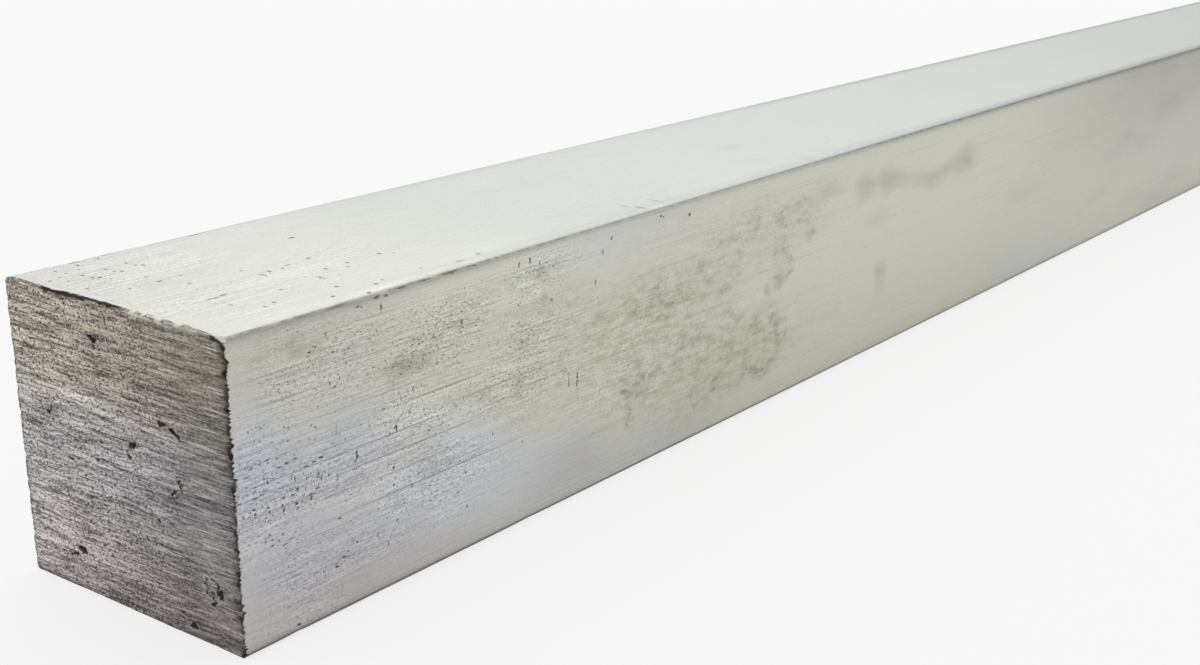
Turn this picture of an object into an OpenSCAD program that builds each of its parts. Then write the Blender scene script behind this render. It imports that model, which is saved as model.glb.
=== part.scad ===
// Solid aluminium square bar: one straight length of extruded stock, lying flat on a long side.
// The die leaves the four long edges slightly rounded. Both ends are as the saw left them,
// on two parallel planes that are a little off square.
//
// Frame: +X along the bar, +Z up, origin at the middle of the underside. Millimetres.

/* [Section] */
// Width across the flats, the same both ways
side = 25; // [10:1:60]
// Radius of the four long edges
edge_r = 0.5; // [0.2:0.1:1.5]

/* [Length] */
// Length along the centre line, from one sawn end to the other
bar_length = 300; // [100:10:1000]

/* [Saw cuts] */
// Angle that both cuts are off square, seen from above
cut_skew = 1.4; // [0:0.1:3]
// Angle that both cuts lean from upright, seen from the side
cut_lean = 0.7; // [0:0.1:2]

/* [Finish] */
// Colour of the bare metal
metal = "#c4c4bc"; // [#c4c4bc:bright, #a9a9a2:dull]

/* [Hidden] */

// Facets in a full circle of the long edges
edge_fn = 48;
// Extra stock at each end, enough to leave material on every side of a leaning cut
saw_allowance = side;
// Distance between the two sawn planes, measured square to them
plane_gap = bar_length * cos(cut_skew) * cos(cut_lean);
// Reach of the kept slab past the section, on every side
slab_reach = 2 * side;

// Outline of the bar's section: a square with its corners rounded, centred on the origin
module section() {
    flat = side - 2 * edge_r;
    square([flat, side], center = true);
    square([side, flat], center = true);
    for (x = [-flat / 2, flat / 2], y = [-flat / 2, flat / 2])
        translate([x, y])
            circle(r = edge_r, $fn = edge_fn);
}

// Stock as it leaves the die, along X and centred on the origin, over-long at both ends
module stock() {
    rotate([90, 0, 90])
        linear_extrude(height = bar_length + 2 * saw_allowance, center = true)
            section();
}

// Everything between the two saw cuts
module between_cuts() {
    rotate([0, -cut_lean, cut_skew])
        cube([plane_gap, side + slab_reach, side + slab_reach], center = true);
}

// The bar, cut to length and lying on its underside
module square_bar() {
    color(metal)
        translate([0, 0, side / 2])
            intersection() {
                stock();
                between_cuts();
            }
}

square_bar();
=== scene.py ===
"""An aluminium square bar: dull bright mill finish on its long faces, torn saw marks on its ends.

The bar is one closed mesh, worked out in millimetres. A grid makes each sawn end, and rings of
vertices run along the bar between them. Three node materials finish it: one for the front and the
back, one for the top and the underside, and one for the ends.
"""

import math

import bpy
import numpy as np
from mathutils import Matrix, Vector


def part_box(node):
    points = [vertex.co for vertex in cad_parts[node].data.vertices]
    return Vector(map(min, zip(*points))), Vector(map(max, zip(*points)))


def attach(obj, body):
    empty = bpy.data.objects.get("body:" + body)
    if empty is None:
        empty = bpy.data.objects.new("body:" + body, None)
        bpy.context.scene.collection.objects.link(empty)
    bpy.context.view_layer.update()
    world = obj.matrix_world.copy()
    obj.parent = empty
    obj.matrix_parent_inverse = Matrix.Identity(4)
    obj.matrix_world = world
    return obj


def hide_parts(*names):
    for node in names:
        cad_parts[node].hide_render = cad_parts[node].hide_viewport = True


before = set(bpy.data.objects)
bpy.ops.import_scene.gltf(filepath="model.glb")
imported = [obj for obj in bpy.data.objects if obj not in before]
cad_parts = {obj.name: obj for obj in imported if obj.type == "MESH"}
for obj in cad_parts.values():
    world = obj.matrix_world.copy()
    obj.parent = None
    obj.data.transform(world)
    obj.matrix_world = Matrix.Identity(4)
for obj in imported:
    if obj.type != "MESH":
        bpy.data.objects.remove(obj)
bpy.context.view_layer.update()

MM = 0.001  # metres in a millimetre

# ---------------------------------------------------------------- the bar's sizes, in millimetres

LOW, HIGH = (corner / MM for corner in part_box("square_bar"))
SIDE = HIGH.z - LOW.z
HALF = SIDE / 2
EDGE_R = 0.5
FLAT = HALF - EDGE_R

# The sawn planes are a little off square. These are their slopes: X for each millimetre of Y and Z.
SKEW = math.radians(1.4)
LEAN = math.radians(0.7)
SLOPE_Y = -math.tan(SKEW)
SLOPE_Z = -math.tan(LEAN) / math.cos(SKEW)
LEAN_REACH = FLAT * (abs(SLOPE_Y) + abs(SLOPE_Z)) + EDGE_R * math.hypot(SLOPE_Y, SLOPE_Z)
HALF_LENGTH = (HIGH.x - LOW.x) / 2 - LEAN_REACH
LENGTH = 2 * HALF_LENGTH

# ---------------------------------------------------------------- the mesh's fineness

ARC_STEPS_Y = 4  # steps in a corner cell, along Y and along Z
ARC_STEPS_Z = 8
FLAT_STEPS_Y = 100  # steps between the corner cells
FLAT_STEPS_Z = 200
# Away from the ends one line in so many is kept: on a side's corner cells and on its flat
THIN_Y = (1, 4)
THIN_Z = (2, 5)
RIM_STATIONS = (0.07, 0.16, 0.28, 0.45, 0.7, 1.1)  # rings close to a sawn rim
RIM_FADE = 5.0  # a rim's shape dies out over this much of the bar
# Rings along the rest: up to so many millimetres from the near end, one for each step
RING_STEPS = ((45, 0.55), (85, 0.9), (124, 1.2), (LENGTH - 12, 3.4), (LENGTH - 1.6, 1.0))
SHARP_ANGLE = math.radians(50)  # edges sharper than this aren't shaded smooth


# ---------------------------------------------------------------- noise

def smooth_noise(x, y, seed):
    """Smooth noise from 0 to 1 that has one random value for each unit of x and y."""
    size = 256
    table = np.random.default_rng(seed).random((size, size))
    x0, y0 = np.floor(x).astype(int), np.floor(y).astype(int)
    fx, fy = x - x0, y - y0
    fx, fy = fx * fx * (3 - 2 * fx), fy * fy * (3 - 2 * fy)
    low = table[x0 % size, y0 % size] * (1 - fx) + table[(x0 + 1) % size, y0 % size] * fx
    high = table[x0 % size, (y0 + 1) % size] * (1 - fx) + table[(x0 + 1) % size, (y0 + 1) % size] * fx
    return low * (1 - fy) + high * fy


def swing(x, y, seed):
    """The same noise, from -1 to 1."""
    return 2 * smooth_noise(x, y, seed) - 1


def ramp(value, low, high):
    """0 below low, 1 above high and smooth between."""
    t = np.clip((value - low) / (high - low), 0, 1)
    return t * t * (3 - 2 * t)


def hump(value, middle, reach):
    """1 at the middle, falling off smoothly on both sides."""
    return np.exp(-(((value - middle) / reach) ** 2))


# ---------------------------------------------------------------- relief of the sawn ends

# The saw's ridges: reach along the cut, pitch across it and height
SAW_RIDGES = ((14, 1.6, 0.022), (8, 0.7, 0.02), (3.5, 0.36, 0.02), (1.2, 0.3, 0.014))
RIDGE_DRIFT = 0.025  # how much the ridges climb towards the exit side, low on the face
CHIP_DEPTH = 0.05

# Pits torn out of the near end: across, down, half width, half height, tilt in degrees, depth
NEAR_PITS = (
    (10.1, 3.1, 0.36, 0.22, 30, 0.3), (13.7, 10.8, 0.4, 0.2, -35, 0.28),
    (13.3, 11.7, 0.26, 0.13, 20, 0.18), (17.3, 8.2, 0.34, 0.26, 0, 0.28), (18.7, 8.6, 0.5, 0.28, 20, 0.3),
    (18.9, 12.5, 0.16, 0.5, 8, 0.26), (18.2, 13.5, 0.42, 0.13, -50, 0.24),
    (6.3, 21.5, 0.38, 0.28, 10, 0.32), (5.3, 22.1, 0.5, 0.12, -25, 0.18),
    (22.6, 20.4, 0.22, 0.36, -15, 0.26), (21.9, 21.3, 0.16, 0.34, 0, 0.22),
    (21.1, 20.4, 0.14, 0.42, 20, 0.16), (9.3, 13, 0.42, 0.12, -10, 0.18),
    (6.2, 13.7, 0.26, 0.16, 15, 0.16), (3.7, 10.3, 0.28, 0.14, 35, 0.18),
    (22.8, 4.4, 0.14, 0.5, -5, 0.09), (19.3, 24, 0.42, 0.16, -15, 0.2),
    (16.3, 16.2, 0.3, 0.14, -30, 0.16),
)
# The far end's, fewer and in other places
FAR_PITS = (
    (5.4, 4.2, 0.4, 0.24, -15, 0.28), (15.8, 7.6, 0.45, 0.2, 25, 0.28), (9, 12.4, 0.3, 0.36, 0, 0.26),
    (19.6, 16.8, 0.45, 0.18, -30, 0.26), (7.2, 19.5, 0.38, 0.26, 20, 0.3),
    (13.1, 21.7, 0.42, 0.16, 5, 0.24),
)
PIT_FULL = 0.2  # a pit this deep is as dark as pits get

# The top rim: how far it is worn back, a stretch that the wear spared and a chipped one
RIM_WORN = 0.30
SPARED_AT = 5.8
SPARED_REACH = 0.8
CHIPPED = (14.0, 20.5)
RIM_ROUND = 0.8  # a rim worn back by so much is rounded down by this share of it
TOOTH_PITCH = 0.45  # spacing of the notches that the saw's teeth leave along a rim
EXIT_NOTCH = 0.42
ENTRY_NOTCH = 0.12
# The corner between the top and the exit side is bent over: its reach across and down, and how far back
CORNER_ACROSS = 2.5
CORNER_DOWN = 1.25
CORNER_BACK = 0.42
# Painted glints in flecks under the top rim: place across and reach
GLINT_FLECKS = ((15.0, 0.40), (16.2, 0.25), (18.0, 0.45), (20.0, 0.45))


def pit_field(u, v, pits):
    """How deep the pits are at each place, in millimetres, with ragged outlines."""
    depth = np.zeros_like(u)
    ragged_u = u + 0.26 * swing(u * 1.9, v * 3.3, 71) + 0.16 * swing(u * 4.5, v * 6.5, 73)
    ragged_v = v + 0.16 * swing(u * 2.3, v * 3.9, 72) + 0.10 * swing(u * 4.9, v * 7.1, 74)
    for across, down, width, height, tilt, deep in pits:
        turn = math.radians(tilt)
        du, dv = ragged_u - across, ragged_v - down
        along = (du * math.cos(turn) + dv * math.sin(turn)) / width
        square = (dv * math.cos(turn) - du * math.sin(turn)) / height
        depth = np.maximum(depth, deep * ramp(1.5 - np.hypot(along, square), 0, 0.7))
    return depth


def saw_line(u, v, seed):
    """Which line of the saw's stroke each place is on, in millimetres from the top."""
    return v + RIDGE_DRIFT * u * ramp(v, 6, 16) + 0.10 * swing(u / 7, v / 5, seed)


def saw_height(u, v, seed, pits):
    """Height of a sawn face, outward in millimetres, and where its pits are, from 0 to 1."""
    w = saw_line(u, v, seed)
    height = np.zeros_like(u)
    for k, (reach, pitch, tall) in enumerate(SAW_RIDGES):
        height += tall * swing(u / reach + 0.3 * k, w / pitch, seed + 1 + k)
    chips = smooth_noise(u / 0.62, w / 0.25, seed + 8) * (0.7 + 0.6 * smooth_noise(u / 5, v / 4, seed + 9))
    height -= CHIP_DEPTH * ramp(chips, 0.72, 0.95)
    depth = pit_field(u, v, pits)
    return height - depth, np.clip(depth / PIT_FULL, 0, 1)


def teeth(along, seed):
    """The notches of the saw's teeth along a rim, from 0 to 1."""
    uneven = along / TOOTH_PITCH + 1.6 * swing(along / 1.3, 0, seed)
    notch = ramp(0.5 + 0.5 * np.sin(2 * math.pi * uneven), 0.25, 0.95)
    crumb = ramp(smooth_noise(along / 0.21, 0, seed + 4), 0.55, 0.9)
    return (0.65 * notch + 0.6 * crumb) * smooth_noise(along / 0.6, 0, seed + 2)


def corner_place(u, v):
    """Where each place is at the bent corner: share of its reach across and upward, and from its middle."""
    across = np.clip((u - SIDE) / CORNER_ACROSS + 1, 0, 1)
    upward = np.clip(1 - v / CORNER_DOWN, 0, 1)
    return across, upward, np.hypot(across, upward)


def top_wear(across, seed):
    """How far the top rim is worn back at each place across it, in millimetres."""
    whole = ramp(across, 0, 0.9) * (1 - ramp(across, 21, 25))
    spared = hump(across, SPARED_AT, SPARED_REACH)
    chips = ramp(smooth_noise(across / 0.9, 0, seed + 1), 0.35, 0.75)
    chips = chips * ramp(across, CHIPPED[0] - 1, CHIPPED[0]) * (1 - ramp(across, CHIPPED[1], CHIPPED[1] + 1))
    uneven = 0.05 * swing(across / 2.2, 0, seed + 2) + 0.05 * swing(across / 0.5, 0, seed)
    return np.maximum(RIM_WORN * whole * (1 - 0.85 * spared) * (1 + 0.5 * chips) + uneven, 0.02)


def rounding(gap, reach):
    """How far a rounded rim falls back, from 1 on the rim to 0 at its reach."""
    return 1 - np.sqrt(1 - (1 - np.clip(gap / reach, 0, 1)) ** 2)


def rim_wear(u, v, seed, near):
    """How far a sawn face falls back near its four rims, in millimetres."""
    back = EXIT_NOTCH * teeth(v, seed) * np.exp(-(SIDE - u) / 0.28)
    back += ENTRY_NOTCH * teeth(v, seed + 10) * np.exp(-u / 0.22)
    worn = top_wear(u, seed + 20) if near else 0.6 * top_wear(SIDE - u, seed + 20)
    back += worn * rounding(v, np.maximum(worn * RIM_ROUND, 0.05))
    # A groove under the top rim, where the burr hangs over
    hang = ramp(u, 1.0, 3.0) * (1 - ramp(u, 12, 14)) * (0.5 + smooth_noise(u / 1.2, 0, seed + 21))
    back += 0.10 * hang * hump(v, 0.42, 0.16)
    worn_low = 0.10 + 0.12 * smooth_noise(u / 2.0, 0, seed + 22)
    back += worn_low * rounding(SIDE - v, 0.25)
    return back + CORNER_BACK * np.clip((corner_place(u, v)[2] - 1) / (math.sqrt(2) - 1), 0, 1)


def rim_tone(u, v, seed):
    """How dark (above 0) or bright (below 0) a sawn face is near its rims. Part of it is painted light:
    painted shadow under the top rim and its burr, and painted highlights on the bent corner and in flecks.
    """
    fringe = 0.30 + 0.75 * smooth_noise(v / 0.7, 0, seed + 3)
    exit_rim = np.exp(-(SIDE - u) / fringe)
    entry_rim = 0.8 * np.exp(-u / 0.28)
    # Painted shadow: a dark line under the top rim, where the lip hangs over
    top_rim_shadow = 0.7 * np.exp(-v / 0.14) * (1 - ramp(u, 12, 14))
    low_rim = 0.9 * np.exp(-(SIDE - v) / 0.45)
    # The dark rim follows the bent corner's round outline
    across, upward, out = corner_place(u, v)
    slope = np.hypot(across / CORNER_ACROSS, upward / CORNER_DOWN) / np.maximum(out, 0.01)
    inside = np.clip(1 - out, 0, 1) / np.maximum(slope, 0.01)
    round_rim = np.exp(-inside / 0.45) * ramp(across, 0, 0.7) * (upward > 0)
    dark = np.maximum.reduce((exit_rim, entry_rim, top_rim_shadow, low_rim, round_rim))
    dark *= 0.30 + 0.95 * smooth_noise(u / 0.45, v / 0.30, seed)
    # The shade under the burr, deeper and shallower along the top
    deep = (0.10 + 0.46 * smooth_noise(u / 0.5, 0, seed + 2)) * (1 - 0.55 * ramp(u, 7.5, 10.0))
    burr = ramp(u, 4.0, 5.0) * (1 - ramp(u, 13.0, 14.8)) * (1 - ramp(v, 0.6 * deep, 1.6 * deep))
    dark = np.maximum(dark, 0.95 * burr)
    # Bright where the corner is bent over, partly burnished metal and partly painted highlight where the bend
    # catches light, and painted glints in flecks along the top
    bright = 0.75 * ramp(out - 1 + 0.05 * swing(u / 0.4, v / 0.4, seed + 1), 0.0, 0.10)
    for at, reach in GLINT_FLECKS:
        bright = np.maximum(bright, np.exp(-(((u - at) / reach) ** 2) - v / 0.32))
    return dark * (1 - np.clip(1.5 * bright, 0, 1)) - bright


# ---------------------------------------------------------------- relief of the long faces

# Nicks in the four long edges: which edge (signs of Y and Z), from the near end, half length, depth
EDGE_NICKS = (
    (-1, 1, 13.3, 0.5, 0.13), (-1, 1, 14.5, 0.4, 0.1), (-1, 1, 15.8, 0.5, 0.16), (-1, 1, 17.2, 0.7, 0.07),
    (-1, 1, 21, 0.6, 0.06), (-1, 1, 26.2, 0.6, 0.07), (-1, 1, 52.2, 0.9, 0.1), (-1, -1, 5.7, 0.6, 0.05),
    (-1, -1, 33, 0.9, 0.03), (1, 1, 5.4, 1, 0.1), (1, 1, 12.7, 0.8, 0.1), (1, 1, 17.4, 0.7, 0.08),
    (1, -1, 40, 1.2, 0.15), (1, 1, 150, 1.5, 0.14), (-1, 1, 188, 1.4, 0.1), (1, -1, 230, 1.6, 0.16),
)


def face_drop(x, y, z):
    """How far the long faces lie under the true section, in millimetres."""
    drop = 0.008 + 0.006 * swing(x / 12, (y + 1.7 * z) / 4, 31)
    corner = ramp(np.minimum(abs(y), abs(z - HALF)), FLAT - 0.15, HALF - 0.2)
    drop += corner * 0.012 * smooth_noise(x / 1.5, np.sign(y) + 2 * np.sign(z - HALF) + 8, 32)
    for side_y, side_z, at, reach, deep in EDGE_NICKS:
        here = corner * (np.sign(y) == side_y) * (np.sign(z - HALF) == side_z)
        drop += here * deep * hump(x, at, reach) * (0.6 + 0.8 * smooth_noise(x / 0.4, 0, 33))
    return drop


# ---------------------------------------------------------------- marks and stains of the long faces
#
# Each row: millimetres from the near end, millimetres down from the face's first edge, half length
# along the bar, half width, strength. The first edge is the top one of the front and the back one
# of the top. The back and the underside bear the same marks, read from the far end.

def repeated(rows, count, step_along, step_down):
    """The rows and their copies, each so far on from the last."""
    return tuple(
        (along + k * step_along, down + k * step_down, *rest)
        for k in range(count)
        for along, down, *rest in rows
    )


def blots(along, down, reach, width, turn, count, size, strength, seed):
    """Uneven spots along an arc. The arc's middle and half axes, its first and last angle, and the spots."""
    draw = np.random.default_rng(seed)
    rows = []
    for angle in np.radians(np.linspace(*turn, count)):
        big = draw.uniform(0.7, 1.3)
        rows.append((
            along + reach * math.cos(angle) + draw.uniform(-0.4, 0.4) * size,
            down - width * math.sin(angle) + draw.uniform(-0.3, 0.3) * size,
            size * big,
            size * big * draw.uniform(0.5, 0.8),
            strength * draw.uniform(0.65, 1.0),
        ))
    return tuple(rows)


# Dark and light lines along the bar, most of them left by the die
FRONT_LINES = (
    (14, 1.8, 6, 0.05, 0.5), (16, 4.7, 14, 0.06, 0.7), (16.5, 6.4, 4, 0.05, 0.5), (4, 2.4, 3, 0.04, 0.4),
    (22, 9.6, 8, 0.1, 1), (10.7, 11, 4.4, 0.07, 0.8), (30, 11.1, 14, 0.06, 0.8), (19, 13.4, 12.5, 0.1, 1),
    (11, 14.9, 3, 0.07, 0.8), (21, 16.8, 17, 0.1, 1), (9, 17.6, 5, 0.06, 0.7), (11, 22, 9, 0.05, 0.6),
    (33, 7.2, 9, 0.07, 0.6), (44, 12.6, 9, 0.08, 0.5), (28, 3.2, 7, 0.05, 0.4), (52, 8.6, 12, 0.1, 0.3),
    (70, 17.8, 16, 0.12, 0.2),
)
FRONT_LIGHT_LINES = (
    (5.5, 3.5, 3.5, 0.06, 1), (40, 11.5, 4, 0.07, 1), (6, 20.3, 4.5, 0.06, 1), (20, 9.85, 6, 0.07, 1),
    (15, 13.7, 7, 0.07, 1), (27, 12.2, 6, 0.06, 0.8), (34, 10.4, 7, 0.07, 0.8), (8, 18.4, 5, 0.05, 0.7),
    (42, 16.3, 8, 0.08, 0.7), (25, 17.1, 9, 0.07, 0.8),
)
TOP_LINES = (
    (7.5, 10.1, 4, 0.05, 0.8), (6.5, 17, 5, 0.06, 0.9), (21, 17.2, 7, 0.04, 0.5),
    (19, 23.3, 10, 0.05, 0.5), (21, 13.7, 7, 0.04, 0.5), (9, 0.3, 8, 0.1, 0.8), (19, 0.35, 4, 0.08, 0.7),
    (28, 9.2, 10, 0.05, 0.3),
)
# Light lines of the top. The last row is a painted highlight on a burr along the top's front edge
TOP_LIGHT_LINES = (
    (9, 13.2, 6, 0.06, 0.7), (14, 19.9, 8, 0.05, 0.6), (24, 16, 9, 0.06, 0.6), (32, 24.2, 32, 0.16, 0.3),
)
# Ticks that the straightening rolls pressed in again and again along the bar
TICKS = (
    (2.8, 6.7, 0.1, 0.1, 0.5), (2.6, 7.3, 0.15, 0.12, 0.7), (3, 7.5, 0.12, 0.15, 0.7),
    (1.4, 8.2, 0.16, 0.1, 0.5), (2.4, 8.3, 0.16, 0.1, 0.6), (2.9, 8.5, 0.12, 0.12, 0.7),
    (1.9, 10.3, 0.36, 0.09, 0.9), (2.7, 10.2, 0.3, 0.1, 1), (3.5, 10.1, 0.34, 0.09, 1),
    (3.1, 11.4, 0.08, 0.34, 0.9), (3.4, 11.7, 0.1, 0.42, 1), (2.2, 12.7, 0.42, 0.09, 0.9),
    (3, 12.4, 0.34, 0.09, 0.9),
)
LOW_TICKS = ((2, 13.5, 0.18, 0.15, 1), (2.1, 13.9, 0.14, 0.18, 1))
LOWER_TICKS = ((3.4, 16, 0.2, 0.11, 0.9), (3, 16.4, 0.26, 0.08, 0.8), (3.6, 16.9, 0.32, 0.07, 0.9))
# Nicks, scratches and dots
FRONT_MARKS = (
    *repeated(TICKS, 3, 2.6, 0.7), *repeated(LOW_TICKS, 4, 1.35, 0.28),
    *repeated(LOWER_TICKS, 3, 1.2, 0.3), (5.7, 13.6, 0.34, 0.15, 0.8), (6.2, 13.2, 0.26, 0.17, 0.9),
    (7.5, 14.4, 0.16, 0.24, 0.9), (7.8, 14.1, 0.14, 0.12, 0.8), (7.4, 14.9, 0.16, 0.1, 0.7),
    (12.3, 12.4, 0.16, 0.6, 1), (12.1, 12.9, 0.2, 0.12, 0.9), (16.6, 11.5, 0.15, 0.52, 1),
    (15.3, 1.3, 0.14, 0.55, 0.9), (10.3, 17, 0.34, 0.12, 1), (12, 19.6, 0.16, 0.16, 0.8),
    (14.2, 19.9, 0.2, 0.12, 0.7), (9.8, 20.9, 0.26, 0.13, 1), (10.6, 20.4, 0.45, 0.09, 0.9),
    (15.4, 21, 0.08, 0.28, 0.9), (5.7, 24.2, 0.3, 0.14, 1), (16.2, 14.8, 0.14, 0.22, 1),
    (16.3, 15.6, 0.1, 0.16, 0.8), (16.2, 16.2, 0.16, 0.16, 1), (17.9, 16, 0.2, 0.12, 0.7),
    (10.3, 9.7, 0.05, 0.9, 0.6), (13.7, 10.5, 0.07, 0.45, 0.7), (9.8, 5.9, 0.16, 0.2, 0.8),
    (10.3, 6.3, 0.12, 0.14, 0.7), (10.8, 5.8, 0.14, 0.2, 0.8), (7.9, 3, 0.22, 0.12, 1),
    (8.3, 2.7, 0.12, 0.12, 0.8), (9.6, 2.1, 0.1, 0.3, 0.7), (16.4, 6.4, 0.25, 0.1, 0.8),
    (17.2, 9.2, 0.12, 0.3, 0.7), (18, 8.9, 0.1, 0.25, 0.7), (18.6, 8.8, 0.12, 0.35, 0.8),
    (24.6, 17.8, 0.16, 0.16, 0.8), (23.6, 19.3, 0.16, 0.2, 0.7), (24.7, 21, 0.14, 0.18, 0.9),
    (31.9, 17.3, 0.16, 0.12, 0.7), (31.5, 1.3, 0.12, 0.4, 0.9), (32.9, 1.2, 0.14, 0.44, 1),
    (34.2, 1.7, 0.12, 0.3, 0.9), (35.8, 5.3, 0.26, 0.14, 0.7), (31.4, 4.8, 0.14, 0.2, 0.7),
    (31.4, 6.5, 0.1, 0.4, 0.7), (38.3, 13.4, 0.1, 0.9, 0.7), (39.5, 13.6, 0.13, 1.3, 0.9),
    (39.6, 15.4, 0.2, 0.12, 0.8), (44.3, 1.5, 0.14, 0.3, 0.8), (43, 2.5, 0.22, 0.3, 0.5),
    (42, 5.1, 0.14, 0.5, 0.6), (51.9, 0.8, 0.35, 0.14, 0.9), (52.3, 1, 0.14, 0.12, 0.8),
    (56.6, 1.5, 0.3, 0.2, 0.9), (28, 15.4, 0.12, 0.3, 0.7), (24.3, 4.6, 0.08, 0.45, 0.8),
    (12.9, 0.7, 0.24, 0.14, 0.9), (13.3, 0.8, 0.14, 0.12, 0.8), (14.9, 0.4, 0.55, 0.14, 1),
    (15.9, 0.5, 0.26, 0.12, 0.9), (17.6, 0.25, 1, 0.12, 0.9), (20.2, 0.22, 1.2, 0.11, 0.8),
    (23.2, 0.22, 1.5, 0.12, 0.9), (25.8, 0.22, 0.9, 0.11, 0.8), (7.6, 0.24, 1, 0.08, 0.6),
    (10.8, 0.24, 1.4, 0.09, 0.7),
)
# Marks near the top's end that come three times over
TOP_HAIRS = ((3.6, 5.5, 0.2, 0.18, 1), (4, 5.9, 0.17, 0.28, 1), (3.5, 4.4, 0.14, 0.36, 0.9))
TOP_MARKS = (
    *repeated(TOP_HAIRS, 3, 2.2, -0.25), (0.9, 3.9, 0.22, 0.18, 1), (2, 3.5, 0.2, 0.18, 1),
    (2.8, 1.8, 0.15, 0.28, 0.9), (4.3, 2.7, 0.14, 0.26, 0.8), (5.3, 0.6, 0.8, 0.25, 0.9),
    (8.5, 0.4, 0.9, 0.25, 0.8), (12.7, 0.5, 1, 0.25, 0.8), (17.3, 0.6, 1, 0.25, 0.8),
    (1.5, 7.8, 0.18, 0.36, 0.9), (12.6, 14.8, 0.12, 0.7, 1), (13.6, 14.3, 0.12, 0.52, 1),
    (14.9, 14.5, 0.14, 0.32, 0.9), (15.9, 14, 0.5, 0.12, 0.8), (7, 16.8, 0.5, 0.16, 1),
    (5.9, 17, 0.75, 0.13, 1), (15, 18.8, 0.11, 0.75, 1), (22, 7.7, 0.5, 0.26, 0.9),
    (10.7, 19, 0.24, 0.2, 1), (14, 21.6, 0.24, 0.22, 1), (7, 21.4, 0.2, 0.24, 0.9),
    (12, 23.3, 0.28, 0.22, 1), (16.5, 23.3, 0.28, 0.22, 1), (18.6, 18, 0.22, 0.18, 0.9),
    (24, 17.8, 0.22, 0.18, 0.8), (28.3, 23.3, 0.45, 0.2, 0.7), (50.1, 22, 0.35, 1.2, 0.22),
    (50.6, 23.4, 0.4, 1.1, 0.34), (53.9, 22.9, 0.35, 1.3, 0.3), (3, 3, 0.14, 0.2, 0.8),
    (5, 1.6, 0.15, 0.32, 0.9), (7.3, 1, 0.14, 0.4, 0.9), (6.5, 2.3, 0.14, 0.18, 0.7),
    (1.8, 5, 0.13, 0.28, 0.8), (6.4, 8.4, 0.28, 0.18, 0.7), (3.5, 10.2, 0.18, 0.15, 0.9),
    (6.3, 10.2, 0.32, 0.16, 0.9), (8.4, 10.1, 0.2, 0.15, 0.8), (7.4, 12.4, 0.3, 0.26, 0.5),
    (12.3, 12.5, 0.13, 0.26, 0.7), (18.3, 13.8, 0.34, 0.2, 0.9), (17, 17.2, 0.2, 0.24, 0.9),
    (19.4, 17.1, 0.2, 0.24, 0.9), (23.1, 17, 0.2, 0.32, 0.9), (8.1, 21.1, 0.15, 0.28, 0.9),
    (5.7, 19.2, 0.18, 0.34, 0.5), (17.6, 22.9, 0.16, 0.22, 0.7), (22.1, 22.7, 0.18, 0.28, 0.7),
    (25.6, 23.6, 0.5, 0.16, 0.6), (14.5, 24.5, 0.3, 0.2, 0.8),
)
# Soft patches of the front, by colour
LILAC_PATCHES = ((8, 21, 24, 13, 1), (4, 12, 22, 8, 1), (2, 7, 12, 5, 0.5), (37, 21, 12, 6, 0.8))
BLUE_PATCHES = ((6, 9.8, 9, 4.2, 0.55), (2.5, 12.5, 6, 4, 0.3))
PALE_PATCHES = (
    (25, 18, 17, 9, 1), (28, 23, 14, 6, 0.4), (46, 1.5, 20, 4.5, 0.5), (54, 23.5, 18, 4, 0.7),
    (145, 23.5, 24, 4, 0.6),
)
DULL_PATCHES = ((4, 3, 18, 9, 1), (19, 6.5, 11, 4.5, 0.8), (9, 6, 18, 6, 0.8))
OLIVE_PATCHES = (
    (48, 11, 26, 7.5, 1), (62, 18, 26, 7.5, 1), (36, 8, 14, 5, 0.7), (70, 6, 20, 6, 0.5),
    (55, 2, 16, 5, 0.2),
)
# Brownish stains of the front, near its end
NEAR_STAINS = (
    (7.5, 2.5, 3.4, 1.1, 0.8), (18.5, 6.5, 4.5, 1.6, 0.9), (24, 11, 2.5, 1, 0.7),
    (26.5, 11.5, 2, 1.2, 0.7), (19.5, 15.5, 3.5, 3, 0.5), (34, 3, 1.5, 0.9, 0.9), (35, 5, 2, 0.7, 0.8),
    (32.5, 8.5, 2.6, 0.8, 0.7), (32, 12, 1.6, 0.8, 0.7), (43, 9, 3.5, 1.6, 0.4),
)
# Water stains round the middle, which dried darkest round their outlines, and the dark spots among them
WATER_RINGS = (
    (46.5, 14.5, 1.5, 1.2, 0.8), (49, 14.5, 1.5, 1.2, 1), (48, 17, 1.6, 0.9, 1),
    (47.5, 19.5, 0.6, 1.5, 0.9), (51, 15.5, 1.2, 1, 0.9), (54, 10.5, 1.5, 1.2, 0.9),
    (52, 12, 2, 1.5, 0.8), (57, 14.5, 1.8, 2, 0.7), (55, 16, 1.4, 1.4, 0.7), (49, 8, 3, 1.5, 0.6),
    (57, 9, 4.5, 1, 0.7), (62, 8, 4.5, 3, 0.5), (62, 15, 5, 3, 0.4), (71, 18, 4, 3.5, 0.9),
    (68, 5, 1.8, 1.5, 0.9), (76, 5, 4.5, 1.3, 0.7), (74, 10, 1.8, 2.4, 0.8), (60, 20.5, 2.5, 1.2, 0.7),
    (65, 20, 3, 1.5, 0.7),
)
DARK_SPOTS = (
    (80, 8, 1.5, 1, 0.7), (71.5, 12.5, 1.2, 0.9, 0.7), (74, 11.5, 1.5, 1.2, 0.6), (48, 17, 1.5, 0.9, 0.7),
    (49, 14.5, 1.2, 0.8, 0.5),
)
# One wavy smudge further along: where it turns, from the near end and down, its half width and strength
SMUDGE_COURSE = (
    (88, 4.5, 1.6, 0), (91.5, 4.5, 2.6, 0.42), (94.5, 4.5, 1.6, 0.28), (97, 5, 2.6, 0.45),
    (102.5, 5, 1.4, 0.2), (108, 6.5, 2, 0.4), (113.5, 5.5, 1.9, 0.32), (117.5, 5.5, 2.6, 0.48),
    (121.5, 4.5, 2.4, 0),
)
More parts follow.
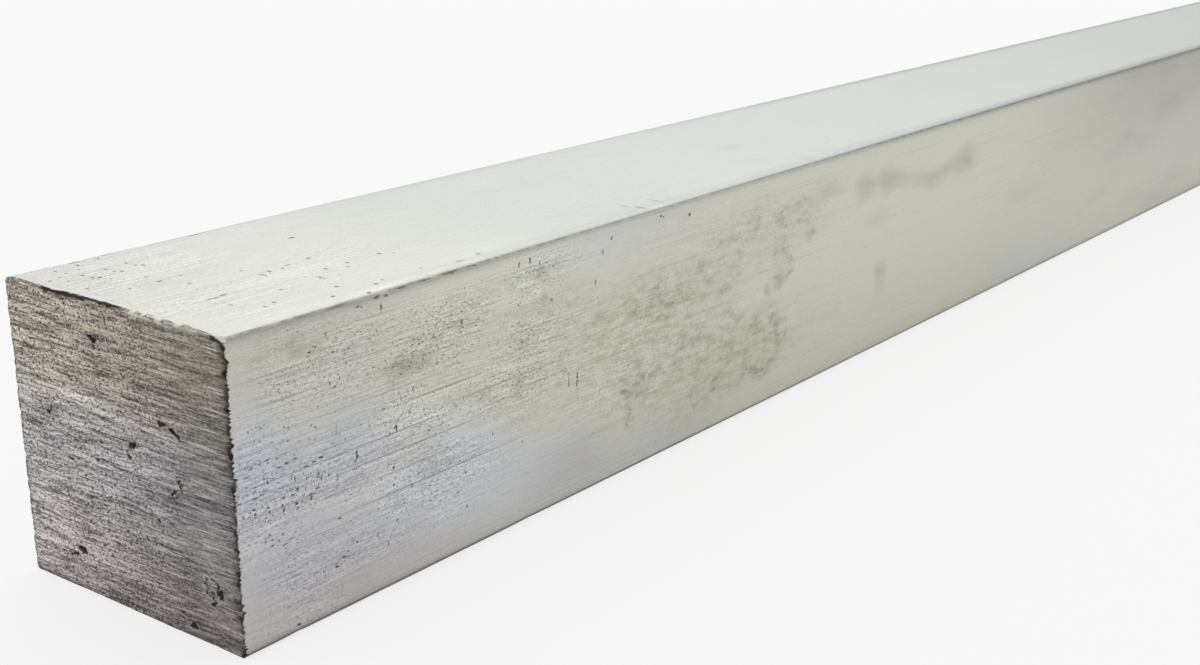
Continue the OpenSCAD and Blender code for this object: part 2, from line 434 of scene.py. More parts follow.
# Other smudges and spots of the front, beside it
FAINT_SMUDGES = ((84, 3.5, 4, 1.4, 0.3), (95, 9, 4.5, 1.6, 0.15))
FAR_SPOTS = ((96.5, 15.5, 2, 1.6, 0.55), (96.5, 17, 1.6, 2.6, 0.28))
# Faint spots on the top, further along
TOP_SPOTS = (
    (80.3, 14, 2.2, 1.8, 0.24), (77, 19.7, 2.6, 1.5, 0.14), (81, 23.3, 2.2, 1.5, 0.2),
    (67.5, 2.3, 2.4, 1, 0.1),
)
# Wide soft smudges of the front, further along still
WIDE_SMUDGES = (
    (150, 8, 13, 3.4, 0.6), (178, 12, 15, 3.6, 0.9), (196, 7, 16, 4.5, 0.8), (163, 17, 15, 4, 0.6),
    (136, 12, 11, 3, 0.4), (192, 3, 34, 9, 0.6), (190, 20, 17, 4, 0.6),
)
# Where the front and the top are pitted and scratched most, and how much
ROUGH_PATCHES = (
    (6, 12.5, 12, 9, 0.95), (18, 12, 15, 9, 1), (9, 4, 14, 5.5, 0.78), (20, 5, 13, 5, 0.85),
    (20, 17.5, 15, 6, 0.95), (10, 20.5, 14, 6, 0.8), (32, 10, 16, 7, 0.85), (33, 3, 10, 5, 0.85),
    (48, 14, 18, 9, 0.45), (60, 17, 20, 9, 0.24), (64, 7, 22, 7, 0.2), (6, 24, 14, 3, 0.7),
)
ROUGH_ON_TOP = ((5, 6, 12, 9, 0.72), (6, 17, 13, 9, 0.5), (18, 15, 14, 6, 0.42))


def spot_field(along, down, rows, core=0.0):
    """The strongest of a list of soft spots at each place."""
    strongest = np.zeros_like(along)
    for at, low, half_length, half_width, strength in rows:
        reach = np.hypot((along - at) / half_length, (down - low) / half_width)
        strongest = np.maximum(strongest, strength * (1 - ramp(reach, core, 1.0)))
    return strongest


def course_field(along, down, course):
    """How strong a smudge is at each place, where it follows a course along the bar."""
    turns_at, low, half_width, strength = np.array(course).T
    reach = abs(down - np.interp(along, turns_at, low)) / np.interp(along, turns_at, half_width)
    return np.interp(along, turns_at, strength) * (1 - ramp(reach, 0, 1))


def soft_masks(x, y, z):
    """How strong the soft patches, grime and wear are at each vertex: three vectors of three masks."""
    centred = z - HALF
    upright = abs(y) > abs(centred)
    read_back = np.where(upright, y > 0, centred < 0)
    along = np.where(read_back, LENGTH - x, x)
    down = np.where(upright, SIDE - z, HALF - y)

    def moved(reach_along, reach_down, waves_along, waves_down, seed):
        place = along * waves_along, down * waves_down
        return along + reach_along * swing(*place, seed), down + reach_down * swing(*place, seed + 1)

    wide = moved(4.0, 1.8, 0.16, 0.30, 301)
    close = moved(1.0, 0.6, 0.5, 0.9, 303)

    def on_side(place, rows, core=0.0):
        return spot_field(*place, rows, core) * upright

    def on_flat(place, rows):
        return spot_field(*place, rows) * ~upright

    smudges = np.maximum.reduce((
        on_side(close, FAINT_SMUDGES + DARK_SPOTS),
        on_side((along, down), FAR_SPOTS),
        course_field(*close, SMUDGE_COURSE) * upright,
        on_flat(close, TOP_SPOTS),
    ))
    rough = on_side(wide, ROUGH_PATCHES) + on_flat(wide, ROUGH_ON_TOP)
    patches = on_side(wide, LILAC_PATCHES, 0.2), on_side(wide, BLUE_PATCHES), on_side(wide, PALE_PATCHES, 0.1)
    return {
        "patches": np.stack(patches, 1),
        "grime": np.stack((on_side(wide, OLIVE_PATCHES, 0.2), on_side(close, NEAR_STAINS), smudges), 1),
        "wear": np.stack((on_side(wide, DULL_PATCHES), rough, on_side(wide, WIDE_SMUDGES)), 1),
    }


# ---------------------------------------------------------------- building the mesh

def grid_lines(arc_steps, flat_steps):
    """Places of the grid's lines across the section, closer together in the rounded corners."""
    arc = np.linspace(FLAT, HALF, arc_steps + 1)
    flat = np.linspace(-FLAT, FLAT, flat_steps + 1)
    return np.concatenate((-arc[:0:-1], flat, arc[1:]))


def beyond_flat(place):
    """How far each place is past the flat of its side, with its sign."""
    return np.sign(place) * np.clip(abs(place) - FLAT, 0, None)


def round_corners(square):
    """Moves points of a square, Y and then Z from its middle, onto the square with rounded corners."""
    over = beyond_flat(square)
    both = (over != 0).all(0)
    length = np.where(both, np.hypot(*over), 1)
    shrink = np.where(both, abs(over).max(0) / length, 1)
    return np.sign(square) * np.minimum(abs(square), FLAT) + over * shrink


def outline(rows, columns):
    """(row, column) of the grid's outline, anticlockwise from its first corner, seen from -X."""
    top, last = rows - 1, columns - 1
    return (
        [(0, c) for c in range(last)]
        + [(r, last) for r in range(top)]
        + [(top, c) for c in range(last, 0, -1)]
        + [(r, 0) for r in range(top, 0, -1)]
    )


def ring_places():
    """Distances of the plain rings from the near end."""
    places = []
    at = RIM_STATIONS[-1]
    for until, step in RING_STEPS:
        count = max(1, round((until - at) / step))
        places += list(np.linspace(at, until, count + 1)[1:])
        at = until
    return places


UPRIGHT, FLAT_FACE, SAWN = range(3)  # the materials' numbers


def band_kind(point):
    """Which material a face of the long band takes, from one of its points."""
    return UPRIGHT if abs(point[1]) > abs(point[2] - HALF) else FLAT_FACE


class MeshParts:
    """Collects vertices with their attributes, and faces with their UVs and material numbers."""

    def __init__(self):
        self.points, self.pit, self.rim, self.saw = [], [], [], []
        self.faces, self.uvs, self.kinds = [], [], []
        self.count = 0
        self.turned = False  # whether faces are turned over as they are added

    def add_points(self, *values):
        """Adds places and their pit, rim and saw values. Returns the first vertex's number."""
        first = self.count
        for column, more in zip((self.points, self.pit, self.rim, self.saw), values):
            column.append(more)
        self.count += len(values[0])
        return first

    def add_face(self, corners, uv, kind):
        way = -1 if self.turned else 1
        self.faces.append(corners[::way])
        self.uvs.extend(uv[::way])
        self.kinds.append(kind)


# The UV map: the two sawn ends side by side over the band of the long faces
END_UV_LOW = 0.51
END_UV_SIZE = 0.48
BAND_UV_SIZE = 0.46


def sawn_end(parts, near):
    """Adds one end's grid. Returns its outline's vertices, and the same outline's own shape."""
    grid = np.meshgrid(grid_lines(ARC_STEPS_Y, FLAT_STEPS_Y), grid_lines(ARC_STEPS_Z, FLAT_STEPS_Z))
    y, z = round_corners(np.stack(grid))
    out, seed, pits = (-1, 100, NEAR_PITS) if near else (1, 200, FAR_PITS)
    u, v = HALF + out * y, HALF - z
    height, pit = saw_height(u, v, seed, pits)
    wear = rim_wear(u, v, seed + 50, near)
    x = out * (HALF_LENGTH + height - wear) + SLOPE_Y * y + SLOPE_Z * z
    points = np.stack((x, y, z + HALF), 2)
    saw = np.stack((u, saw_line(u, v, seed), np.full_like(u, seed)), 2)
    rim = rim_tone(u, v, seed + 60)
    first = parts.add_points(points.reshape(-1, 3), pit.ravel(), rim.ravel(), saw.reshape(-1, 3))
    us = (0.01 if near else END_UV_LOW) + END_UV_SIZE * u / SIDE
    vs = END_UV_LOW + END_UV_SIZE * (1 - v / SIDE)
    rows, columns = y.shape

    def number(row, column):
        return first + row * columns + column

    parts.turned = not near
    for r in range(rows - 1):
        for c in range(columns - 1):
            square = [(r, c), (r + 1, c), (r + 1, c + 1), (r, c + 1)]
            parts.add_face([number(*at) for at in square], [(us[at], vs[at]) for at in square], SAWN)
    loop = outline(rows, columns)
    return [number(*at) for at in loop], np.array([points[at] for at in loop])


def band_uv(x, turn):
    """Place in the long faces' band of the UV map, which gives the near end more room."""
    along = np.clip((x + HALF_LENGTH + 1) / (LENGTH + 2), 0, 1) ** 0.75
    return (0.01 + 0.98 * along, 0.02 + BAND_UV_SIZE * turn)


def add_ring(parts, section, turn, x_plain, rim_near, rim_far):
    """Adds a ring of vertices. section is the outline's (y, z); the rims bend the rings next to them."""
    y, z = section.T
    from_near, from_far = x_plain + HALF_LENGTH, HALF_LENGTH - x_plain
    fade_near = np.clip(1 - from_near / RIM_FADE, 0, 1) ** 2
    fade_far = np.clip(1 - from_far / RIM_FADE, 0, 1) ** 2
    x = x_plain + fade_near * (rim_near + HALF_LENGTH) + fade_far * (rim_far - HALF_LENGTH)
    normal = beyond_flat(section - (0, HALF))
    normal /= np.linalg.norm(normal, axis=1)[:, None]
    drop = face_drop(x + HALF_LENGTH, y, z) * ramp(min(from_near, from_far), 0, 1.0)
    points = np.column_stack((x, section - normal * drop[:, None]))
    on_side = ramp(abs(y), HALF - 0.3, HALF - 0.05)
    rim = np.exp(-min(from_near, from_far) / 0.20) * (0.2 + 0.8 * on_side)
    first = parts.add_points(points, np.zeros(len(y)), rim, np.zeros((len(y), 3)))
    return [first + k for k in range(len(y))], points, turn


def bridge(parts, ring_a, ring_b, spans=None):
    """Joins two rings along the bar.

    Each span is for one step of ring_b: the vertex of ring_a where it starts, and how many of
    ring_a's steps it covers. Without spans the rings match step by step.
    """
    (ids_a, points_a, turn_a), (ids_b, points_b, turn_b) = ring_a, ring_b
    count = len(ids_b)
    for b0, (a0, steps) in enumerate(spans or [(k, 1) for k in range(count)]):
        b1 = (b0 + 1) % count
        fan = [(a0 + j) % len(ids_a) for j in range(steps + 1)]
        uv_a = [band_uv(points_a[i][0], turn_a[i] if j == 0 or i != 0 else 1.0) for j, i in enumerate(fan)]
        uv_b0 = band_uv(points_b[b0][0], turn_b[b0])
        uv_b1 = band_uv(points_b[b1][0], 1.0 if b1 == 0 else turn_b[b1])
        kind = band_kind((points_b[b0] + points_b[b1]) / 2)
        corners = [ids_a[i] for i in fan]
        if steps == 1:
            parts.add_face([*corners, ids_b[b1], ids_b[b0]], [*uv_a, uv_b1, uv_b0], kind)
            continue
        middle = steps // 2
        for j in range(steps):
            tip, uv_tip = (b0, uv_b0) if j < middle else (b1, uv_b1)
            parts.add_face([*corners[j:j + 2], ids_b[tip]], [*uv_a[j:j + 2], uv_tip], kind)
        parts.add_face([corners[middle], ids_b[b1], ids_b[b0]], [uv_a[middle], uv_b1, uv_b0], kind)


def kept_steps(arc, flat, arc_every, flat_every):
    """Which steps along one side of the outline stay away from the ends.

    The flat keeps a step beside each corner, so that it shades flat right up to the round.
    """
    last = arc + flat
    return (
        list(range(0, arc, arc_every))
        + sorted({arc + 1, last - 1, *range(arc, last, flat_every)})
        + list(range(last, last + arc, arc_every))
    )


def thinned():
    """The outline vertices that stay away from the ends, and each one's span up to the next."""
    keep, start = [], 0
    for arc, flat, thin in ((ARC_STEPS_Y, FLAT_STEPS_Y, THIN_Y), (ARC_STEPS_Z, FLAT_STEPS_Z, THIN_Z)) * 2:
        keep += [start + step for step in kept_steps(arc, flat, *thin)]
        start += 2 * arc + flat
    spans = [(a, (b - a) % start) for a, b in zip(keep, keep[1:] + keep[:1])]
    return keep, spans


def turns(points):
    """Share of the way round the section at each outline vertex."""
    steps = np.linalg.norm(np.roll(points[:, 1:], -1, 0) - points[:, 1:], axis=1)
    return np.concatenate(([0], np.cumsum(steps)[:-1])) / steps.sum()


def build_bar():
    parts = MeshParts()
    near_ids, near_rim = sawn_end(parts, True)
    far_ids, far_rim = sawn_end(parts, False)
    keep, spans = thinned()
    turn = turns(near_rim)
    section = near_rim[:, 1:]
    near_x, far_x = near_rim[:, 0], far_rim[:, 0]

    def add_rings(ring, places, kept=slice(None), first_spans=None):
        """Adds rings and joins each to the one before. Returns the last."""
        for x_plain in places:
            after = add_ring(parts, section[kept], turn[kept], x_plain, near_x[kept], far_x[kept])
            bridge(parts, ring, after, first_spans)
            ring, first_spans = after, None
        return ring

    parts.turned = False
    ring = add_rings((near_ids, near_rim, turn), [at - HALF_LENGTH for at in RIM_STATIONS])
    ring = add_rings(ring, [at - HALF_LENGTH for at in ring_places()], keep, spans)
    # The far end mirrors this: its faces are made from the end inwards, and turned over
    parts.turned = True
    back = add_rings((far_ids, far_rim, turn), [HALF_LENGTH - at for at in RIM_STATIONS])
    bridge(parts, back, ring, spans)
    return parts


def add_attribute(mesh, name, values):
    """Gives each vertex a number, or a vector of three."""
    kind, field = ("FLOAT", "value") if values.ndim == 1 else ("FLOAT_VECTOR", "vector")
    attribute = mesh.attributes.new(name, kind, "POINT")
    attribute.data.foreach_set(field, values.astype(np.float32).ravel())


def add_object(name, data):
    thing = bpy.data.objects.new(name, data)
    bpy.context.scene.collection.objects.link(thing)
    return thing


def make_bar():
    parts = build_bar()
    mesh = bpy.data.meshes.new("bar_metal")
    places = np.concatenate(parts.points)
    mesh.from_pydata((places * MM).tolist(), [], parts.faces)
    fields = {name: np.concatenate(getattr(parts, name)) for name in ("pit", "rim", "saw")}
    fields.update(soft_masks(places[:, 0] + HALF_LENGTH, places[:, 1], places[:, 2]))
    for name, values in fields.items():
        add_attribute(mesh, name, values)
    layer = mesh.uv_layers.new(name="OFBake")
    layer.uv.foreach_set("vector", np.array(parts.uvs, np.float32).ravel())
    mesh.polygons.foreach_set("material_index", np.array(parts.kinds, np.int32))
    mesh.polygons.foreach_set("use_smooth", np.ones(len(parts.faces), bool))
    mesh.set_sharp_from_angle(angle=SHARP_ANGLE)
    mesh.validate()
    mesh.update()
    return add_object("bar_metal", mesh)


# ---------------------------------------------------------------- node helpers

def tone(red, green, blue):
    """A colour given as it is seen, from 0 to 255, as the linear colour that nodes take."""
    def linear(value):
        c = value / 255
        return c / 12.92 if c <= 0.04045 else ((c + 0.055) / 1.055) ** 2.4
    return (linear(red), linear(green), linear(blue), 1)


def grey(level):
    return (level, level, level, 1)


class Nodes:
    """Short ways to add nodes to one material, or to the node tree that is given."""

    def __init__(self, name=None, tree=None):
        self.tree = tree
        if name:
            self.material = bpy.data.materials.new(name)
            self.material.use_nodes = True
            self.tree = self.material.node_tree
            self.shader = self.tree.nodes["Principled BSDF"]

    def fill(self, node, inputs):
        """Links a node's inputs, given by name or number, to sockets or sets them to constants."""
        for key, value in inputs.items():
            if isinstance(value, bpy.types.NodeSocket):
                self.tree.links.new(value, node.inputs[key])
            else:
                node.inputs[key].default_value = value

    def add(self, kind, inputs=None, **settings):
        node = self.tree.nodes.new(kind)
        for key, value in settings.items():
            setattr(node, key, value)
        self.fill(node, inputs or {})
        return node

    def attribute(self, name, output="Fac"):
        return self.add("ShaderNodeAttribute", attribute_name=name).outputs[output]

    def math(self, operation, *values):
        return self.add("ShaderNodeMath", dict(enumerate(values)), operation=operation).outputs[0]

    def times(self, a, b):
        return self.math("MULTIPLY", a, b)

    def minus(self, a, b):
        return self.math("SUBTRACT", a, b)

    def larger(self, a, b):
        return self.math("MAXIMUM", a, b)

    def sum_of(self, *parts):
        """The sum of values, each times its share."""
        total = self.times(*parts[0])
        for value, share in parts[1:]:
            total = self.math("ADD", total, self.times(value, share))
        return total

    def vector(self, operation, *values):
        node = self.add("ShaderNodeVectorMath", dict(enumerate(values)), operation=operation)
        return node.outputs["Value" if operation == "LENGTH" else "Vector"]

    def split(self, vector):
        return tuple(self.add("ShaderNodeSeparateXYZ", {0: vector}).outputs)

    def join(self, *values):
        return self.add("ShaderNodeCombineXYZ", dict(enumerate(values))).outputs[0]

    def noise(self, place, stretch, detail=2, roughness=0.6, output="Fac"):
        """Noise with about so many waves to a millimetre along each axis."""
        stretched = self.vector("MULTIPLY", place, (*stretch, 1)[:3])
        inputs = {"Vector": stretched, "Scale": 1, "Detail": detail, "Roughness": roughness}
        return self.add("ShaderNodeTexNoise", inputs).outputs[output]

    def warped(self, place, stretch, along, down):
        """The place moved about by noise, at most so many millimetres each way."""
        offset = self.vector("SUBTRACT", self.noise(place, stretch, output="Color"), (0.5, 0.5, 0.5))
        return self.vector("ADD", place, self.vector("MULTIPLY", offset, (2 * along, 2 * down, 0)))

    def span(self, value, low, high, to_low=0, to_high=1):
        """to_low where the value is at low, to_high where it is at high, and smooth between."""
        inputs = {"Value": value, "From Min": low, "From Max": high, "To Min": to_low, "To Max": to_high}
        return self.add("ShaderNodeMapRange", inputs, interpolation_type="SMOOTHSTEP").outputs["Result"]

    def mix_value(self, share, a, b):
        return self.add("ShaderNodeMix", {0: share, 2: a, 3: b}, data_type="FLOAT").outputs[0]

    def mix(self, share, a, b, blend="MIX"):
        inputs = {0: share, 6: a, 7: b}
        return self.add("ShaderNodeMix", inputs, data_type="RGBA", blend_type=blend).outputs[2]

    def spots(self, group, place, rows, core):
        """The strongest of a list of spots at each place. Cycles took 165 in a material, but not 318."""
        strongest = 0
        for along, down, half_length, half_width, strength in rows:
            inputs = {
                "Place": place, "Centre": (along, down, 0), "Shrink": (1 / half_length, 1 / half_width, 0),
                "Core": core, "Strength": strength, "Under": strongest,
            }
            strongest = self.add("ShaderNodeGroup", inputs, node_tree=group).outputs["Value"]
        return strongest

    # A finish is laid on in coats: start, then paint and shade, then finish

    def start(self, hue):
        self.color = tone(*hue)

    def paint(self, share, hue, strength=None):
        """Lays a hue, as it is seen from 0 to 255, over the coats so far."""
        if strength is not None:
            share = self.times(share, strength)
        self.color = self.mix(share, self.color, tone(*hue))

    def shade(self, factor, share=1):
        """Multiplies the coats so far, by a colour or a number."""
        self.color = self.mix(share, self.color, factor, "MULTIPLY")

    def finish(self, roughness, height, relief):
        """Makes it the surface of bare metal, with bumps of height times relief, in millimetres."""
        bump = self.add("ShaderNodeBump", {"Strength": 1, "Distance": relief * MM, "Height": height})
        self.fill(self.shader, {
            "Base Color": self.color, "Metallic": 1, "Roughness": roughness, "Normal": bump.outputs["Normal"],
        })
        return self.material


# ---------------------------------------------------------------- materials

FAR_HUE = (203, 202, 197)  # the far half of the long faces, at half strength
FAR_SHARE = 0.5


def mark_group(name, hollow):
    """One soft-edged spot, 0 from its outline on. It is full inside, or strongest near its outline."""
    tree = bpy.data.node_groups.new(name, "ShaderNodeTree")
    sockets = (("Vector", "Place"), ("Vector", "Centre"), ("Vector", "Shrink"),
               ("Float", "Core"), ("Float", "Strength"), ("Float", "Under"))
    for kind, socket in sockets:
        tree.interface.new_socket(name=socket, in_out="INPUT", socket_type="NodeSocket" + kind)
    tree.interface.new_socket(name="Value", in_out="OUTPUT", socket_type="NodeSocketFloat")
    nodes = Nodes(tree=tree)
    given = nodes.add("NodeGroupInput").outputs
    offset = nodes.vector("SUBTRACT", given["Place"], given["Centre"])
    reach = nodes.vector("LENGTH", nodes.vector("MULTIPLY", offset, given["Shrink"]))
    if hollow:
        line = nodes.span(nodes.math("ABSOLUTE", nodes.minus(reach, 0.8)), 0.55, 0)
        shape = nodes.larger(line, nodes.span(reach, 1.1, given["Core"], 0, 0.5))
        spot = nodes.times(shape, given["Strength"])
    else:
        spot = nodes.span(reach, 1, given["Core"], 0, given["Strength"])
    nodes.add("NodeGroupOutput", {"Value": nodes.larger(spot, given["Under"])})
    return tree


def face_place(nodes, upright):
    """The place on a long face as the lists give it, how far the nearest long edge of that face is, and
    1 on the lower half of the bar."""
    metres = nodes.add("ShaderNodeTexCoord").outputs["Object"]
    millimetres = nodes.vector("MULTIPLY", metres, (1 / MM,) * 3)
    x, y, z = nodes.split(nodes.vector("ADD", millimetres, (HALF_LENGTH, 0, 0)))
    beneath = nodes.math("LESS_THAN", z, HALF)
    if upright:
        read_back = nodes.math("GREATER_THAN", y, 0)
        down = nodes.minus(SIDE, z)
    else:
        read_back = beneath
        down = nodes.minus(HALF, y)
    place = nodes.join(nodes.mix_value(read_back, x, nodes.minus(LENGTH, x)), down, 0)
    off_middle = nodes.math("ABSOLUTE", nodes.minus(z, HALF))
    nearest = nodes.math("MINIMUM", nodes.math("ABSOLUTE", y), off_middle)
    return place, nodes.minus(HALF, nearest), beneath


def mill_finish(name, mark, ring, rows, upright):
    """The long faces' finish. The rows are the face's dark lines, light lines, nicks and water rings."""
    nodes = Nodes(name)
    paint, times, larger, span, noise = nodes.paint, nodes.times, nodes.larger, nodes.span, nodes.noise
    place, edge_gap, beneath = face_place(nodes, upright)
    along, down, _ = nodes.split(place)
    lilac, blue, pale = nodes.split(nodes.attribute("patches", "Vector"))
    olive, stains, smudges = nodes.split(nodes.attribute("grime", "Vector"))
    dull, rough, wide = nodes.split(nodes.attribute("wear", "Vector"))
    streak = noise(place, (0.05, 2.8), 3, 0.65)
    grain = noise(place, (2.6, 6.5), 3, 0.7)
    dashes = noise(place, (0.45, 6.0))

    # Soft colours: the base, greyer and cooler towards the far end, and the patches of the front
    far = span(along, 110, 210, 0, FAR_SHARE)
    if upright:
        nodes.start((230, 230, 218))
        for share, hue in ((far, FAR_HUE), (dull, (213, 212, 202)), (lilac, (215, 214, 217)),
                           (blue, (206, 213, 222)), (pale, (226, 228, 231)), (olive, (222, 220, 206))):
            paint(share, hue)
        mottle = noise(place, (0.55, 1.2), 5, 0.72)
        paint(times(olive, span(mottle, 0.47, 0.62)), (192, 188, 172), 0.5)
        paint(times(span(down, 19.5, 23.5), span(along, 34, 10, 0, 0.55)), (225, 216, 212))
        paint(times(olive, span(mottle, 0.46, 0.34)), (238, 237, 229), 0.6)
        clouds = noise(place, (0.05, 0.16), 2, 0.5)
        paint(times(wide, span(clouds, 0.38, 0.60, 0.2)), (194, 187, 184), 0.5)
        # Painted light and shade: further along, the front is painted darker near its top and lighter near
        # its bottom
        nodes.shade(nodes.mix_value(span(along, 125, 185), 1, span(down, 0, 24, 0.86, 1.15)))
        torn = nodes.warped(nodes.warped(place, (0.28, 0.40), 2.2, 1.4), (1.1, 1.8), 0.6, 0.4)
        gaps = span(noise(place, (0.30, 0.45), 3), 0.40, 0.62, 0.15, 0.9)
        stains = larger(stains, times(gaps, nodes.spots(ring, torn, rows["rings"], 0.6)))
        stains = times(stains, span(mottle, 0.38, 0.62, 0.30))
        paint(times(stains, span(dashes, 0.35, 0.60, 0.55, 1.1)), (160, 154, 138), 0.9)
    else:
        nodes.start((226, 226, 220))
        paint(span(along, 12, 45), (218, 221, 215))
        paint(span(along, 60, 110), (214, 219, 216))
        paint(far, FAR_HUE)
    paint(smudges, (149, 148, 139), 0.72)

    # Fine texture: light and dark dashes along the bar, strongest where the face is rough
    level = span(nodes.sum_of((streak, 0.28), (grain, 0.46), (dashes, 0.26)), 0.40, 0.60)
    low = nodes.mix(rough, grey(0.95), grey(0.74))
    high = nodes.mix(rough, grey(1.05), (1.29, 1.30, 1.34, 1))
    nodes.shade(nodes.mix(span(along, 50, 110, 0, 0.6), nodes.mix(level, low, high), grey(1)))

    # Die lines, straight along the bar, each some way long
    die_lines = times(
        span(noise(place, (0.0, 4.2)), 0.55, 0.66),
        span(noise(place, (0.045, 1.7), 1, 0.5), 0.46, 0.62),
    )
    known_lines = nodes.spots(mark, place, rows["dark"], 0.2)
    lines = larger(known_lines, times(die_lines, span(rough, 0, 1, 0.15, 0.9)))
    paint(times(lines, span(grain, 0.38, 0.55, 0.35)), (136, 133, 127), 0.8)
    paint(nodes.spots(mark, place, rows["light"], 0.2), (244, 244, 238), 0.7)

    # Specks and nicks
    limit = span(rough, 0, 1, 0.72, 0.625)
    dots = noise(place, (2.4, 5.2), 1.5, 0.5)
    ticks = noise(nodes.vector("ADD", place, (7.3, 4.1, 0)), (5.5, 2.3), 1.5, 0.5)
    specks = larger(span(nodes.minus(dots, limit), 0, 0.05), span(nodes.minus(ticks, limit), 0.02, 0.07))
    nicks = nodes.spots(mark, nodes.warped(place, (3.0, 4.6), 0.24, 0.16), rows["nicks"], 0.35)
    paint(larger(nicks, times(specks, 0.7)), (88, 83, 79), 0.95)

    # The long edges: painted shade on the flat faces' rounds, a thin broken dark line, painted shade along
    # the lower edges, and painted shade where the faces run off
    # Painted shade: the flat faces are darkened on their rounded edges, against the highlight there
    if not upright:
        nodes.shade(nodes.mix_value(span(edge_gap, 0.70, 0.25), 1, 0.74))
    broken = span(noise(place, (0.5, 0.0), 3, 0.7), 0.42, 0.58, 0.15, 0.85)
    worn = larger(span(along, 32, 48, 1, 0.5), span(along, 75, 105))
    paint(times(span(edge_gap, 0.28, 0.17), times(broken, worn)), (150, 147, 136))
    # Painted shade along the lower edges, stronger near the near end
    under = times(span(edge_gap, 0.52, 0.34), beneath)
    paint(times(under, span(along, 30, 120, 0.75, 0.38)), (106, 102, 114))
    if upright:
        reach, near, far = 1.1, span(along, 45, 15, 0.12, 0.42), span(along, 55, 150, 0, 0.2)
    else:
        reach, near, far = 2.6, span(along, 12, 40, 0, 0.15), span(along, 60, 150, 0, 0.45)
    paint(times(span(edge_gap, reach, 0.2), nodes.math("ADD", near, far)), (158, 160, 157))
    paint(span(nodes.attribute("rim"), 0.45, 0.95, 0, 0.8), (92, 84, 78))

    height = nodes.minus(times(grain, 0.35), nodes.math("ADD", specks, times(die_lines, 0.4)))
    return nodes.finish(span(streak, 0.2, 0.8, 0.42, 0.52), height, 0.035)


# Little dark marks and cracks of a sawn end: across, down, half width, half height, strength
END_MARKS = (
    *blots(21.9, 20.5, 0.75, 0.55, (0, 315), 8, 0.26, 1, 31),
    *blots(18.4, 13.2, 0.8, 1, (60, -80), 5, 0.24, 1, 32), (22.6, 20.3, 0.24, 0.36, 1),
    (21.9, 21.5, 0.14, 0.34, 0.9), (18, 8, 0.3, 0.16, 0.9), (16.7, 7.9, 0.2, 0.12, 0.8),
    (19.4, 9.1, 0.3, 0.14, 0.8), (10.6, 2.4, 0.4, 0.1, 0.8), (10.3, 3.7, 0.14, 0.24, 0.9),
    (6, 6.6, 0.2, 0.14, 0.7), (3.3, 6.4, 0.18, 0.2, 0.7), (4.2, 10.1, 0.16, 0.4, 0.9),
    (5.2, 11, 0.18, 0.3, 0.7), (2.6, 11.6, 0.18, 0.26, 0.7), (1.1, 17.2, 0.55, 0.1, 0.9),
    (1, 19.6, 0.5, 0.4, 0.6), (13.4, 11.9, 0.14, 0.24, 0.8), (7.2, 13.6, 0.3, 0.12, 0.9),
    (8.2, 13.7, 0.25, 0.12, 0.8), (10.2, 13, 0.4, 0.13, 0.9), (17.9, 16.5, 0.35, 0.14, 0.8),
    (11.2, 16.8, 0.12, 0.3, 0.7), (5.4, 16.9, 0.12, 0.36, 0.8), (5, 22.1, 0.4, 0.12, 0.7),
    (7.6, 21.8, 0.4, 0.14, 0.7), (19.9, 24, 0.4, 0.16, 0.7), (18.2, 23.6, 0.3, 0.12, 0.8),
    (16.4, 20, 0.3, 0.12, 0.7), (22.9, 5.2, 0.12, 0.5, 0.4), (17.6, 20.1, 0.25, 0.12, 0.7),
    (18.9, 20.4, 0.2, 0.14, 0.7),
)
# Wide darker shades of a sawn end, and wide lighter ones
END_SHADES = (
    (11, 4.5, 8, 4.5, 0.7), (24, 9, 6, 9, 0.55), (11.5, 24.4, 5, 1.6, 1), (18, 23.5, 5, 2.5, 0.75),
    (5.5, 14.5, 5.5, 2.6, 0.45),
)
END_LIGHTS = (
    (16.5, 12, 4.5, 6, 0.85), (12.5, 13, 3.5, 3.5, 0.5), (7, 8.5, 4, 3, 0.5), (2, 23, 4, 2, 0.8),
    (22.5, 20.5, 3, 3.5, 0.8), (17.5, 8.6, 4.6, 3.4, 0.85),
)


